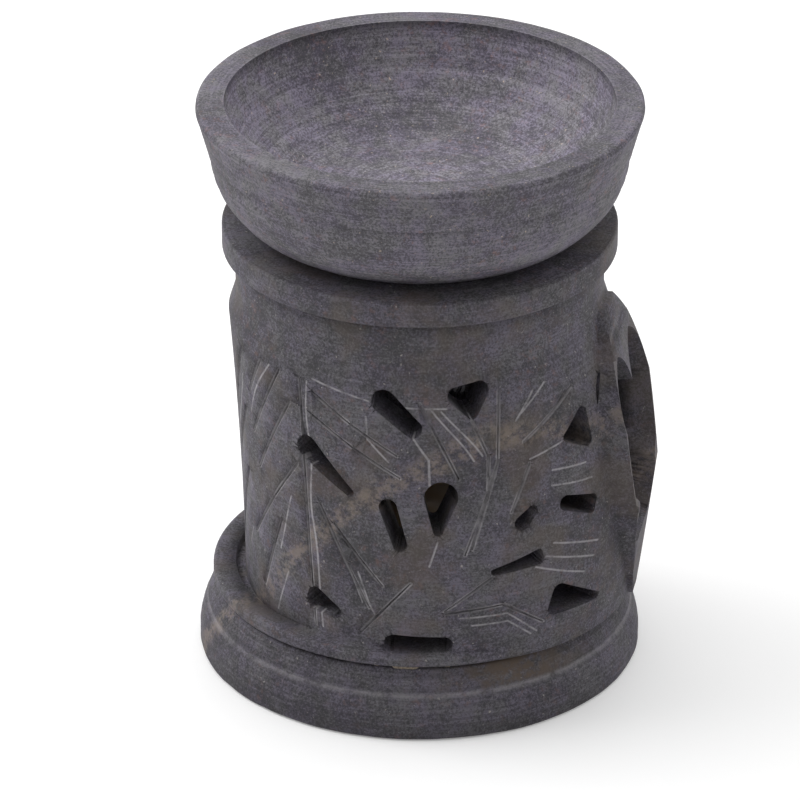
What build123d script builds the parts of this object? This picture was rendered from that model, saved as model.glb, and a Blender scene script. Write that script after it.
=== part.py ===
"""Carved soapstone oil burner: a turned foot, a pierced chamber with a lobed door,
a lift-off oil dish and the tea light that warms it.

Millimetres. The origin is the centre of the underside, +Z is up and +X faces the door.
"""

import os
from math import cos, radians, sin, sqrt

from build123d import *

# Turned foot
foot_radius = 38.1
foot_height = 12.3
foot_band_height = 3.0
foot_shoulder_inset = 3.3
foot_swell = 0.55
foot_edge_round = 0.7

# Cement in the crevice between the foot and the chamber
cement_thickness = 0.3
cement_inset = 0.7
cement_width = 6.0

# Ring left standing round the bottom of the chamber, with a gutter behind it
ring_radius = 35.5
ring_height = 2.4
ring_edge_round = 0.7
ring_land_width = 3.9
gutter_depth = 1.2

# Carved chamber wall: round, but drawn towards the door as it comes down
wall_height = 50.9
wall_foot_radius = 33.3
wall_foot_shift = 3.5
wall_belly_radius = 33.9
wall_belly_shift = 3.4
wall_belly_share = 0.48
wall_thickness = 3.8

# Turned neck, sloping in from the wall's top, with an undercut below the top flange
wall_top_radius = 32.3
neck_inset = 1.2
neck_slope_height = 3.8
neck_height = 8.6
undercut_height = 2.9
undercut_depth = 1.0
undercut_bulge_shares = (0.3, 0.6)
flange_radius = 33.3
flange_thickness = 4.5
flange_edge_round = 0.5
roof_thickness = 7.5

# Door: a lobed mouth that flares a little through a collar standing proud of the wall
door_half_width = 12.2
door_half_height = 16.5
door_height_share = 0.60
door_plane_reach = 36.0
door_flare_length = 60.0
door_lip_depth = 3.5
door_hollow_margin = 1.0
door_hollow_round = 6.0
collar_root_depth = 4.5
collar_foot_stand = 1.5
collar_brow_stand = 3.5
collar_brow_height_share = 0.40
collar_chest_stand = 1.6
collar_chest_height_share = 0.70
collar_shoulder_stand = 1.9
collar_shoulder_height_share = 0.96
collar_crown_rise = 3.1

# Half outlines of the door and its collar, as shares of the door's half width and half height
tooth_tip_shares = (0.0, 0.56)
tooth_flank_shares = (0.17, 0.82)
upper_lobe_top_shares = (0.50, 1.0)
upper_lobe_shoulder_shares = (0.88, 0.78)
upper_lobe_side_shares = (1.0, 0.30)
upper_lobe_flank_shares = (0.99, -0.04)
upper_lobe_corner_shares = (0.93, -0.40)
cusp_shares = (0.67, -0.54)
lower_lobe_corner_shares = (0.84, -0.70)
lower_lobe_bend_shares = (0.72, -0.94)
sill_shares = (0.45, -1.07)
collar_top_shares = (0.0, 1.61)
collar_shoulder_shares = (0.762, 1.03)
collar_side_shares = (1.09, 0.14)
collar_low_shares = (0.81, -1.0)
collar_bottom_shares = (0.0, -2.0)

# Pierced leaves of one panel: angle from the door in degrees, height as a share of the wall's
# height, length and width as shares of the leaf unit, tilt in degrees, then how round the small
# end and the large end's corners are, as shares of the half width
leaf_unit_share = 1.5
leaf_shares = [
    (-107.8, 0.670, 0.262, 0.086, -37.0, 0.35, 1.0),
    (-86.2, 0.906, 0.205, 0.084, -42.6, 0.75, 1.0),
    (-65.2, 0.943, 0.120, 0.140, -81.0, 0.30, 0.45),
    (-31.8, 0.756, 0.128, 0.142, 186.0, 0.25, 0.35),
    (-87.2, 0.510, 0.195, 0.062, -73.0, 0.80, 1.0),
    (-74.4, 0.560, 0.195, 0.112, -95.0, 0.30, 1.0),
    (-49.8, 0.520, 0.100, 0.056, 43.0, 0.70, 1.0),
    (-32.8, 0.507, 0.172, 0.068, 160.0, 0.80, 0.6),
    (-52.9, 0.352, 0.190, 0.058, 190.0, 0.45, 0.6),
    (-33.4, 0.159, 0.228, 0.115, -16.0, 0.25, 0.5),
    (-109.4, 0.160, 0.142, 0.088, -20.0, 0.60, 0.8),
    (-80.0, 0.072, 0.228, 0.070, 2.0, 0.85, 1.0),
]

# Carved veins and stems of one half of the wall, as shallow tapering grooves: angles from the door
# in degrees and heights as shares of the wall's height, from the thick end to the thin end
vein_width = 1.0
vein_depth = 0.35
vein_tip_share = 0.5
vein_lines = [
    [(-113.5, 0.94), (-100.0, 0.852), (-86.5, 0.764)],
    [(-113.0, 0.853), (-99.0, 0.77), (-85.5, 0.686)],
    [(-80.0, 0.95), (-69.0, 0.686)],
    [(-65.0, 0.882), (-60.5, 0.754), (-61.0, 0.627), (-67.5, 0.411)],
    [(-56.5, 0.97), (-58.0, 0.735), (-65.5, 0.43)],
    [(-31.0, 0.912), (-50.0, 0.784)],
    [(-48.5, 0.705), (-54.5, 0.548)],
    [(-110.5, 0.538), (-94.5, 0.194)],
    [(-105.5, 0.479), (-90.5, 0.283)],
    [(-97.5, 0.096), (-82.5, 0.303)],
    [(-60.0, 0.322), (-73.0, 0.204)],
    [(-72.5, 0.194), (-56.5, 0.214), (-45.0, 0.116)],
    [(-118.0, 0.97), (-113.0, 0.075)],
    [(-135.5, 0.97), (-143.5, 0.813)],
    [(-126.5, 0.97), (-141.5, 0.676)],
    [(-122.0, 0.872), (-138.5, 0.558)],
    [(-119.0, 0.656), (-131.0, 0.475), (-143.0, 0.293)],
    [(-127.0, 0.411), (-138.0, 0.116)],
    [(-148.0, 0.95), (-162.0, 0.617)],
    [(-147.0, 0.735), (-163.0, 0.401)],
    [(-148.0, 0.499), (-162.0, 0.185)],
    [(-178.0, 0.95), (-178.0, 0.086)],
]

# Tea light
cup_radius = 18.6
cup_height = 15.5
cup_wall = 0.4
cup_lip = 0.5
cup_lip_height = 0.6
wax_radius_clearance = 0.1
wax_headroom = 2.6
tab_radius = 6.0
tab_thickness = 0.4
tab_tube_radius = 1.5
tab_tube_height = 4.0
wick_radius = 0.8
wick_stand = 8.0
wick_clearance = 0.05

# Loading hole and dish
loading_clearance = 2.2
dish_height = 21.9
dish_seat_width = 4.6
dish_spigot_depth = 2.5
dish_spigot_clearance = 0.6
dish_bowl_radius = 35.4
dish_lip_overhang = 2.2
dish_lip_height = 8.0
dish_lip_step = 0.3
dish_lip_round = 1.1
dish_rim_width = 3.9
dish_floor_thickness = 6.2
dish_floor_radius = 17.0
dish_floor_dip = 0.6
lip_swell_shares = (0.42, 0.38)
bowl_hollow_shares = (0.30, 0.34)

cut_overrun = 2.0

# Levels and radii that follow from the sizes above
body_z = foot_height + cement_thickness
neck_z = body_z + wall_height
undercut_z = neck_z + neck_height
flange_z = undercut_z + undercut_height
top_z = flange_z + flange_thickness
ceiling_z = top_z - roof_thickness
chamber_radius = wall_foot_radius - wall_foot_shift - wall_thickness
loading_radius = cup_radius + cup_lip + loading_clearance
wall_reach = wall_belly_radius + wall_belly_shift
door_z = body_z + door_height_share * wall_height
door_hollow_reach = door_plane_reach - door_lip_depth
collar_brow_reach = door_plane_reach + collar_brow_stand


def door_point(shares, scale, side=1):
    """A point of the door's half outline, scaled about the door's centre."""
    across, up = shares
    return (side * across * door_half_width * scale, up * door_half_height * scale)


def door_plane(reach):
    """The upright plane across the door's axis, centred on the door."""
    return Plane(origin=(reach, 0, door_z), x_dir=(0, 1, 0), z_dir=(1, 0, 0))


def door_scale(reach):
    """How far the flaring door has opened at this reach, 1 at the door's own plane."""
    return 1 + (reach - door_plane_reach) / door_flare_length


def lobed_outline(scale):
    """Two upper lobes parted by a hanging tooth, two side cusps and a low lobe with a flat sill."""
    for side in (-1, 1):
        tooth = ThreePointArc(
            door_point(tooth_tip_shares, scale, side),
            door_point(tooth_flank_shares, scale, side),
            door_point(upper_lobe_top_shares, scale, side),
        )
        upper = ThreePointArc(
            tooth @ 1,
            door_point(upper_lobe_shoulder_shares, scale, side),
            door_point(upper_lobe_side_shares, scale, side),
        )
        flank = ThreePointArc(
            upper @ 1,
            door_point(upper_lobe_flank_shares, scale, side),
            door_point(upper_lobe_corner_shares, scale, side),
        )
        cusp = Polyline(
            flank @ 1,
            door_point(cusp_shares, scale, side),
            door_point(lower_lobe_corner_shares, scale, side),
        )
        ThreePointArc(
            cusp @ 1,
            door_point(lower_lobe_bend_shares, scale, side),
            door_point(sill_shares, scale, side),
        )
    Line(door_point(sill_shares, scale, -1), door_point(sill_shares, scale, 1))


def collar_outline():
    """A pointed oval round the lobed door."""
    for side in (-1, 1):
        upper = ThreePointArc(
            door_point(collar_top_shares, 1, side),
            door_point(collar_shoulder_shares, 1, side),
            door_point(collar_side_shares, 1, side),
        )
        ThreePointArc(
            upper @ 1,
            door_point(collar_low_shares, 1, side),
            door_point(collar_bottom_shares, 1, side),
        )


def wall_section(share):
    """The wall's radius and its shift towards the door, at a share of the wall's height."""
    belly = wall_belly_share
    foot_weight = (share - belly) * (share - 1) / belly
    belly_weight = share * (1 - share) / (belly * (1 - belly))
    neck_weight = share * (share - belly) / (1 - belly)
    radius = foot_weight * wall_foot_radius + belly_weight * wall_belly_radius + neck_weight * wall_top_radius
    return radius, foot_weight * wall_foot_shift + belly_weight * wall_belly_shift


def wall_point(angle, share, side):
    """A point at the bottom of a vein, at this angle from the door and share of the wall's height."""
    radius, shift = wall_section(share)
    out = Vector(cos(radians(angle)), side * sin(radians(angle)), 0)
    reach = shift * out.X + sqrt(radius**2 - (shift * out.Y) ** 2) - vein_depth
    return out * reach + Vector(0, 0, body_z + share * wall_height)


def vein_plane(start, end):
    """The plane through a vein's two ends that faces straight out of the wall."""
    along = (end - start).normalized()
    middle = (start + end) / 2
    out = Vector(middle.X, middle.Y, 0)
    return Plane(origin=middle, x_dir=along, z_dir=out - along * out.dot(along))


def wall_plane(angle, height):
    """A plane touching the wall's outermost reach, facing out at this angle."""
    out = (cos(radians(angle)), sin(radians(angle)), 0)
    origin = (wall_reach * out[0], wall_reach * out[1], height)
    return Plane(origin=origin, x_dir=(-out[1], out[0], 0), z_dir=out)


os.makedirs("parts", exist_ok=True)

# Foot: an upright band with a swelling shoulder above it
shoulder_radius = foot_radius - foot_shoulder_inset
shoulder_middle = (
    (foot_radius + shoulder_radius) / 2 + foot_swell,
    (foot_band_height + foot_height) / 2,
)
with BuildPart() as foot:
    with BuildSketch(Plane.XZ):
        with BuildLine():
            band = Polyline((0, foot_height), (0, 0), (foot_radius, 0), (foot_radius, foot_band_height))
            shoulder = ThreePointArc(band @ 1, shoulder_middle, (shoulder_radius, foot_height))
            Line(shoulder @ 1, band @ 0)
        make_face()
    revolve(axis=Axis.Z)
    fillet(foot.faces().sort_by(Axis.Z)[-1].edges(), foot_edge_round)
foot.part.label = "foot"
export_step(foot.part, "parts/foot.step")

# Cement: a thin ring between the foot and the chamber, set back from the crevice's mouth
cement_radius = min(shoulder_radius, ring_radius) - cement_inset
with BuildPart() as joint_cement:
    with BuildSketch(Plane.XY.offset(foot_height)):
        Circle(cement_radius)
        Circle(cement_radius - cement_width, mode=Mode.SUBTRACT)
    extrude(amount=cement_thickness)
joint_cement.part.label = "joint_cement"
export_step(joint_cement.part, "parts/joint_cement.step")

# Collar: a pointed oval, drawn out from the wall and trimmed to a prow that juts at the cusps
collar_root_reach = door_hollow_reach - collar_root_depth
collar_tip_reach = max(collar_brow_reach, wall_reach) + cut_overrun
collar_brow_z = body_z + collar_brow_height_share * wall_height
collar_chest_z = body_z + collar_chest_height_share * wall_height
collar_shoulder_z = body_z + collar_shoulder_height_share * wall_height
collar_crown_z = neck_z + collar_crown_rise
with BuildPart() as door_collar:
    with BuildSketch(door_plane(collar_root_reach)):
        with BuildLine():
            collar_outline()
        make_face()
    extrude(amount=collar_tip_reach - collar_root_reach)
    with BuildSketch(Plane.XZ):
        with BuildLine():
            Polyline(
                (0, body_z),
                (door_plane_reach + collar_foot_stand, body_z),
                (collar_brow_reach, collar_brow_z),
                (door_plane_reach + collar_chest_stand, collar_chest_z),
                (wall_top_radius + collar_shoulder_stand, collar_shoulder_z),
                (wall_top_radius, collar_crown_z),
                (0, collar_crown_z),
                close=True,
            )
        make_face()
    extrude(amount=wall_reach, both=True, mode=Mode.INTERSECT)

# Veins: tapering strokes, each on the plane through its two ends a little way inside the wall
with BuildPart() as carved_veins:
    for line in vein_lines:
        for thick_end, thin_end in zip(line, line[1:]):
            for side in (1, -1):
                thick = wall_point(*thick_end, side)
                thin = wall_point(*thin_end, side)
                with BuildSketch(vein_plane(thick, thin)):
                    half_length = (thin - thick).length / 2
                    with Locations((-half_length, 0)):
                        Circle(vein_width / 2)
                    with Locations((half_length, 0)):
                        Circle(vein_tip_share * vein_width / 2)
                    make_hull()
    extrude(amount=vein_depth + cut_overrun)

# Chamber: foot ring, carved wall, neck and flange, bored out, then pierced
neck_radius = wall_top_radius - neck_inset
undercut_middle = (
    neck_radius - undercut_bulge_shares[0] * undercut_depth,
    undercut_z + undercut_bulge_shares[1] * undercut_height,
)
leaf_unit = leaf_unit_share * wall_belly_radius
leaf_depth = wall_reach - chamber_radius + cut_overrun
throat_scale = door_scale(door_hollow_reach)
hollow_width = 2 * (door_half_width * throat_scale + door_hollow_margin)
hollow_height = 2 * (door_half_height * throat_scale + door_hollow_margin)
with BuildPart() as pierced_chamber:
    with BuildSketch(Plane.XY.offset(body_z)):
        Circle(ring_radius)
    extrude(amount=ring_height)
    fillet(pierced_chamber.edges().filter_by(GeomType.CIRCLE), ring_edge_round)
    with BuildSketch(Plane.XY.offset(body_z + ring_height)):
        Circle(ring_radius - ring_land_width)
    extrude(amount=-gutter_depth, mode=Mode.SUBTRACT)
    for share in (0, wall_belly_share, 1):
        radius, shift = wall_section(share)
        with BuildSketch(Plane((shift, 0, body_z + share * wall_height))):
            Circle(radius)
    loft()
    with BuildSketch(Plane.XZ) as neck_profile:
        with BuildLine():
            neck = Polyline(
                (0, top_z),
                (0, neck_z),
                (wall_top_radius, neck_z),
                (neck_radius, neck_z + neck_slope_height),
                (neck_radius, undercut_z),
            )
            undercut = ThreePointArc(neck @ 1, undercut_middle, (neck_radius - undercut_depth, flange_z))
            Polyline(undercut @ 1, (flange_radius, flange_z), (flange_radius, top_z), neck @ 0)
        make_face()
        fillet(neck_profile.vertices().sort_by(Axis.X)[-2:], flange_edge_round)
    revolve(axis=Axis.Z)
    add(door_collar.part)

    # Chamber bore, and the loading hole under the dish
    with BuildSketch(Plane.XY.offset(body_z)):
        Circle(chamber_radius)
    extrude(amount=ceiling_z - body_z, mode=Mode.SUBTRACT)
    with BuildSketch(Plane.XY.offset(ceiling_z)):
        Circle(loading_radius)
    extrude(amount=roof_thickness, mode=Mode.SUBTRACT)

    # Hollow behind the door, then the flaring lobed mouth
    with BuildSketch(door_plane(0)):
        RectangleRounded(hollow_width, hollow_height, door_hollow_round)
    extrude(amount=door_hollow_reach, mode=Mode.SUBTRACT)
    for reach in (door_hollow_reach - cut_overrun, collar_tip_reach):
        with BuildSketch(door_plane(reach)):
            with BuildLine():
                lobed_outline(door_scale(reach))
            make_face()
    loft(ruled=True, mode=Mode.SUBTRACT)

    # Pierced leaves, mirrored on the panel at the other side of the door
    for angle, height_share, length_share, width_share, tilt, end_share, corner_share in leaf_shares:
        half_width = width_share * leaf_unit / 2
        end_radius = end_share * half_width
        corner_radius = corner_share * half_width
        half_span = (length_share * leaf_unit - end_radius - corner_radius) / 2
        spread = half_width - corner_radius
        along = (cos(radians(tilt)), sin(radians(tilt)))
        for side in (1, -1):
            with BuildSketch(wall_plane(side * angle, body_z + height_share * wall_height)):
                for edge in (-1, 1):
                    across = -half_span * along[0] - edge * spread * along[1]
                    up = -half_span * along[1] + edge * spread * along[0]
                    with Locations((side * across, up)):
                        Circle(corner_radius)
                with Locations((side * half_span * along[0], half_span * along[1])):
                    Circle(end_radius)
                make_hull()
            extrude(amount=-leaf_depth, mode=Mode.SUBTRACT)
    add(carved_veins.part, mode=Mode.SUBTRACT)
pierced_chamber.part.label = "pierced_chamber"
export_step(pierced_chamber.part, "parts/pierced_chamber.step")

# Oil dish: spigot, seat, round bowl and a swelling lip with a flat rim
spigot_radius = loading_radius - dish_spigot_clearance
seat_radius = loading_radius + dish_seat_width
rim_z = top_z + dish_height
lip_z = rim_z - dish_lip_height
dish_lip_radius = dish_bowl_radius + dish_lip_overhang
floor_z = top_z + dish_floor_thickness
rim_inner_radius = dish_lip_radius - dish_lip_round - dish_rim_width
lip_foot_radius = dish_bowl_radius + dish_lip_step
lip_middle = (
    lip_foot_radius + lip_swell_shares[0] * (dish_lip_radius - lip_foot_radius),
    lip_z + lip_swell_shares[1] * dish_lip_height,
)
hollow_middle = (
    rim_inner_radius - bowl_hollow_shares[0] * (rim_inner_radius - dish_floor_radius),
    floor_z + bowl_hollow_shares[1] * (rim_z - floor_z),
)
with BuildPart() as oil_dish:
    with BuildSketch(Plane.XZ):
        with BuildLine():
            under = Polyline(
                (0, floor_z - dish_floor_dip),
                (0, top_z - dish_spigot_depth),
                (spigot_radius, top_z - dish_spigot_depth),
                (spigot_radius, top_z),
                (seat_radius, top_z),
            )
            bowl = TangentArc((dish_bowl_radius, lip_z), under @ 1, tangent=(0, -1))
            step = Line(bowl @ 0, (lip_foot_radius, lip_z))
            lip = ThreePointArc(step @ 1, lip_middle, (dish_lip_radius, rim_z - dish_lip_round))
            edge = JernArc(lip @ 1, (0, 1), dish_lip_round, 90)
            flat = Line(edge @ 1, (rim_inner_radius, rim_z))
            hollow = ThreePointArc(flat @ 1, hollow_middle, (dish_floor_radius, floor_z))
            Line(hollow @ 1, under @ 0)
        make_face()
    revolve(axis=Axis.Z)
oil_dish.part.label = "oil_dish"
export_step(oil_dish.part, "parts/oil_dish.step")

# Tea light cup: thin pressed metal with a rolled lip
floor_level = foot_height
cup_floor_z = floor_level + cup_wall
cup_top_z = floor_level + cup_height
with BuildPart() as tealight_cup:
    with BuildSketch(Plane.XY.offset(floor_level)):
        Circle(cup_radius)
    extrude(amount=cup_height)
    with BuildSketch(Plane.XY.offset(cup_top_z - cup_lip_height)):
        Circle(cup_radius + cup_lip)
    extrude(amount=cup_lip_height)
    with BuildSketch(Plane.XY.offset(cup_floor_z)):
        Circle(cup_radius - cup_wall)
    extrude(amount=cup_height, mode=Mode.SUBTRACT)
tealight_cup.part.label = "tealight_cup"
export_step(tealight_cup.part, "parts/tealight_cup.step")

# Wick tab: a stamped disc with a crimped tube, standing on the cup's floor
tab_top_z = cup_floor_z + tab_thickness
tube_top_z = tab_top_z + tab_tube_height
wick_bore = wick_radius + wick_clearance
with BuildPart() as wick_tab:
    with BuildSketch(Plane.XY.offset(cup_floor_z)):
        Circle(tab_radius)
    extrude(amount=tab_thickness)
    with BuildSketch(Plane.XY.offset(tab_top_z)):
        Circle(tab_tube_radius)
        Circle(wick_bore, mode=Mode.SUBTRACT)
    extrude(amount=tab_tube_height)
wick_tab.part.label = "wick_tab"
export_step(wick_tab.part, "parts/wick_tab.step")

# Wax: fills the cup round the tab and the wick
wax_top_z = cup_top_z - wax_headroom
with BuildPart() as tealight_wax:
    with BuildSketch(Plane.XY.offset(cup_floor_z)):
        Circle(cup_radius - cup_wall - wax_radius_clearance)
    extrude(amount=wax_top_z - cup_floor_z)
    with BuildSketch(Plane.XY.offset(cup_floor_z)):
        Circle(tab_radius + wick_clearance)
    extrude(amount=tab_thickness, mode=Mode.SUBTRACT)
    with BuildSketch(Plane.XY.offset(tab_top_z)):
        Circle(tab_tube_radius + wick_clearance)
    extrude(amount=tab_tube_height, mode=Mode.SUBTRACT)
    with BuildSketch(Plane.XY.offset(tube_top_z)):
        Circle(wick_bore)
    extrude(amount=wax_top_z - tube_top_z, mode=Mode.SUBTRACT)
tealight_wax.part.label = "tealight_wax"
export_step(tealight_wax.part, "parts/tealight_wax.step")

# Wick: stands in the tab's tube and comes up through the wax
with BuildPart() as tealight_wick:
    with BuildSketch(Plane.XY.offset(tab_top_z)):
        Circle(wick_radius)
    extrude(amount=wax_top_z + wick_stand - tab_top_z)
tealight_wick.part.label = "tealight_wick"
export_step(tealight_wick.part, "parts/tealight_wick.step")
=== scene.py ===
# %% [markdown]
# # A carved soapstone oil burner
# The CAD frame gives every piece its size and place. This lesson gives the pieces their looks: a foot and
# a dish from the lathe, a chamber carved and pierced by hand, a little cement, and the tea light inside.

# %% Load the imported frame
import math
import random

import bpy
import numpy as np
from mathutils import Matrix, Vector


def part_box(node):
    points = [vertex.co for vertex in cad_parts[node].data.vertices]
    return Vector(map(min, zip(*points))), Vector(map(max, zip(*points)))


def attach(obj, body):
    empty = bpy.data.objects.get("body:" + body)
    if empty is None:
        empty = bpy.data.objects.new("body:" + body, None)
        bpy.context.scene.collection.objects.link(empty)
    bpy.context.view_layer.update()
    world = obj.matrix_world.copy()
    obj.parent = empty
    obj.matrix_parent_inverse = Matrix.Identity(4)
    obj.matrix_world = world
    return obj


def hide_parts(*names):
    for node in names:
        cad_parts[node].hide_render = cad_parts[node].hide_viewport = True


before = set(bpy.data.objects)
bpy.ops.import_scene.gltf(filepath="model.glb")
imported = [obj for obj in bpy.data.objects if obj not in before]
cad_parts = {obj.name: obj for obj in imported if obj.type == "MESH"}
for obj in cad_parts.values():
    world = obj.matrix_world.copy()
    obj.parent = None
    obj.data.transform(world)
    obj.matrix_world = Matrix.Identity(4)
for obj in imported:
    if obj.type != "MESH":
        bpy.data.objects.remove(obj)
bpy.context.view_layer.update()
bpy.ops.object.select_all(action="DESELECT")
MM = 0.001
print("loaded", sorted(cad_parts))

# %% [markdown]
# ## Camera
# The photograph was taken through a long lens, a little above the rim, with the door just turned out of
# sight on the right. The camera is set first, so that every later render can be laid over the photograph.

# %% Camera at the photograph's view
AIM_HEIGHT = 50 * MM
CAMERA_DISTANCE = 1086.2 * MM
CAMERA_ELEVATION = math.radians(26.609)
CAMERA_AZIMUTH = math.radians(10.0)
CAMERA_LENS = 287.45
SENSOR_WIDTH = 36.0
PITCH_DOWN = math.radians(26.837)
YAW_LEFT = math.radians(0.197)

reach = CAMERA_DISTANCE * math.cos(CAMERA_ELEVATION)
camera_place = (
    reach * math.sin(CAMERA_AZIMUTH),
    -reach * math.cos(CAMERA_AZIMUTH),
    AIM_HEIGHT + CAMERA_DISTANCE * math.sin(CAMERA_ELEVATION),
)
camera_turn = (math.pi / 2 - PITCH_DOWN, 0, CAMERA_AZIMUTH + YAW_LEFT)
bpy.ops.object.camera_add(location=camera_place, rotation=camera_turn)
camera = bpy.context.object
camera.data.lens = CAMERA_LENS
camera.data.sensor_width = SENSOR_WIDTH
camera.data.clip_end = 20
bpy.context.scene.camera = camera
print("camera stands", round(CAMERA_DISTANCE, 3), "m away")

# %% [markdown]
# ## Working by hand in code
# Operators act on whatever is selected, so each step first chooses one piece. Where a shape is moved point
# by point, all points are read into one table, moved together and written back.

# %% Helpers for choosing a piece and moving its points
def choose(piece):
    """Makes this piece the only selected one, and the active one."""
    bpy.ops.object.select_all(action="DESELECT")
    piece.select_set(True)
    bpy.context.view_layer.objects.active = piece


def apply_modifiers(piece):
    """Turns the piece's modifiers into mesh."""
    choose(piece)
    for modifier in list(piece.modifiers):
        bpy.ops.object.modifier_apply(modifier=modifier.name)


def read_points(piece, what="co"):
    """The places or normals of all the piece's points, one row each. Places are in millimetres."""
    rows = np.empty(len(piece.data.vertices) * 3, dtype=np.float32)
    piece.data.vertices.foreach_get(what, rows)
    rows = rows.reshape(-1, 3).astype(float)
    return rows / MM if what == "co" else rows


def write_points(piece, places):
    """Moves the piece's points to these places, given in millimetres."""
    piece.data.vertices.foreach_set("co", (places * MM).astype(np.float32).ravel())
    piece.data.update()


def paint_points(piece, name, values):
    """Keeps one number per point as a named attribute, for the material to read."""
    layer = piece.data.attributes.get(name) or piece.data.attributes.new(name, "FLOAT", "POINT")
    layer.data.foreach_set("value", values.astype(np.float32))


def dress(piece, body, slot, material, *nodes):
    """Gives a finished piece its body, its material and the CAD nodes it stands for. The record slot is not used."""
    piece.data.materials.clear()
    piece.data.materials.append(material)
    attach(piece, body)
    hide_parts(*nodes)
    piece.data.calc_loop_triangles()
    print(piece.name, "has", len(piece.data.loop_triangles), "triangles")


# %% [markdown]
# ## Turning on the lathe
# The foot, the dish, the cup and the wax are turned shapes. Each is drawn as half a section, extruded point
# by point as one wire, and spun round the upright axis. Spinning leaves a seam and a bunch of points on the
# axis, so these are merged and the normals are recalculated.

# %% Lines and arcs for a turned section
def straight(start, end, step):
    """Points from start towards end, without the end itself."""
    count = max(1, round(math.dist(start, end) / step))
    return [
        (start[0] + (end[0] - start[0]) * i / count, start[1] + (end[1] - start[1]) * i / count)
        for i in range(count)
    ]


def arc(start, middle, end, step):
    """Points along the circle through three points, without the last one."""
    (ax, ay), (bx, by), (cx, cy) = start, middle, end
    d = 2 * (ax * (by - cy) + bx * (cy - ay) + cx * (ay - by))
    a2, b2, c2 = ax * ax + ay * ay, bx * bx + by * by, cx * cx + cy * cy
    ux = (a2 * (by - cy) + b2 * (cy - ay) + c2 * (ay - by)) / d
    uy = (a2 * (cx - bx) + b2 * (ax - cx) + c2 * (bx - ax)) / d
    radius = math.dist(start, (ux, uy))
    first = math.atan2(ay - uy, ax - ux)
    through = (math.atan2(by - uy, bx - ux) - first) % math.tau
    sweep = (math.atan2(cy - uy, cx - ux) - first) % math.tau
    if through > sweep:
        sweep -= math.tau
    count = max(2, round(abs(sweep) * radius / step))
    return [
        (ux + radius * math.cos(first + sweep * i / count), uy + radius * math.sin(first + sweep * i / count))
        for i in range(count)
    ]


def tool_marks(section, depth, rng):
    """Sinks each point of a section into the stone by a little, as the passes of a turning tool do."""
    marked = [section[0]]
    for before, here, after in zip(section, section[1:], section[2:]):
        along = (after[0] - before[0], after[1] - before[1])
        length = math.hypot(*along) or 1.0
        sink = depth * rng.random() ** 2
        marked.append((max(0.0, here[0] + sink * along[1] / length), here[1] - sink * along[0] / length))
    return marked + [section[-1]]


def turn_on_lathe(name, section, steps):
    """Spins a section of (radius, height) points in millimetres round the upright axis."""
    bpy.ops.object.select_all(action="DESELECT")
    bpy.ops.mesh.primitive_plane_add(size=MM, location=(0, 0, 0))
    piece = bpy.context.object
    piece.name = name
    bpy.ops.object.mode_set(mode="EDIT")
    bpy.ops.mesh.merge(type="CENTER")
    bpy.ops.transform.translate(value=(section[0][0] * MM, 0, section[0][1] * MM))
    for here, there in zip(section, section[1:]):
        step = ((there[0] - here[0]) * MM, 0, (there[1] - here[1]) * MM)
        bpy.ops.mesh.extrude_vertices_move(TRANSFORM_OT_translate={"value": step})
    bpy.ops.mesh.select_all(action="SELECT")
    bpy.ops.mesh.spin(steps=steps, angle=math.tau, center=(0, 0, 0), axis=(0, 0, 1))
    bpy.ops.mesh.select_all(action="SELECT")
    bpy.ops.mesh.remove_doubles(threshold=0.002 * MM)
    bpy.ops.mesh.normals_make_consistent(inside=False)
    bpy.ops.object.mode_set(mode="OBJECT")
    print(name, "turned from", len(section), "section points")
    return piece


# %% [markdown]
# ## Wear
# Soft stone wears pale along its edges and stays pale in fresh scratches. Edges are measured on the finished
# mesh, where a point stands proud of its neighbours, and a scratch is where the tool went.

# %% Measure how far points stand proud, and wobble a turned shape
def edge_stand(piece, passes=2):
    """How far each point stands proud of its neighbours' mean, as a share of their distance, evened out."""
    mesh = piece.data
    places, normals = read_points(piece), read_points(piece, "normal")
    pairs = np.empty(len(mesh.edges) * 2, dtype=np.int32)
    mesh.edges.foreach_get("vertices", pairs)
    first, second = pairs.reshape(-1, 2).T
    count = np.bincount(pairs, minlength=len(places))[:, None]
    total = np.empty_like(places)
    for axis in range(3):
        total[:, axis] = np.bincount(first, places[second, axis], len(places))
        total[:, axis] += np.bincount(second, places[first, axis], len(places))
    spacing = np.linalg.norm(places[first] - places[second], axis=1)
    reach = np.bincount(first, spacing, len(places)) + np.bincount(second, spacing, len(places))
    stand = ((places - total / count) * normals).sum(axis=1) * count[:, 0] / np.maximum(reach, 1e-6)
    for _ in range(passes):
        around = np.bincount(first, stand[second], len(places)) + np.bincount(second, stand[first], len(places))
        stand = (stand + around / count[:, 0]) / 2
    return stand


def roughen(piece, name, size, depth, group=""):
    """Pushes the surface in by up to this depth in soft clouds of this size, both in millimetres."""
    clouds = bpy.data.textures.new(name, "CLOUDS")
    clouds.noise_scale = size * MM
    clouds.noise_depth = 2
    push = piece.modifiers.new(name, "DISPLACE")
    push.texture = clouds
    push.texture_coords = "LOCAL"
    push.strength = depth * MM
    push.mid_level = 1.0
    push.vertex_group = group
    apply_modifiers(piece)


# %% [markdown]
# ## Stone, as node groups
# All three stone pieces come from one kind of grey soapstone, so grain, turning lines and wear are built once
# as node groups and placed in each material with its own values. Places come in millimetres, so that a
# size in a node is a size on the stone.

# %% Helpers for nodes
def add_node(tree, kind, inputs=None, **settings):
    """Adds a node. A socket given as an input is linked, and any other value is set."""
    made = tree.nodes.new(kind)
    for name, value in settings.items():
        setattr(made, name, value)
    for name, value in (inputs or {}).items():
        if isinstance(value, bpy.types.NodeSocket):
            tree.links.new(value, made.inputs[name])
        else:
            made.inputs[name].default_value = value
    return made


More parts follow.
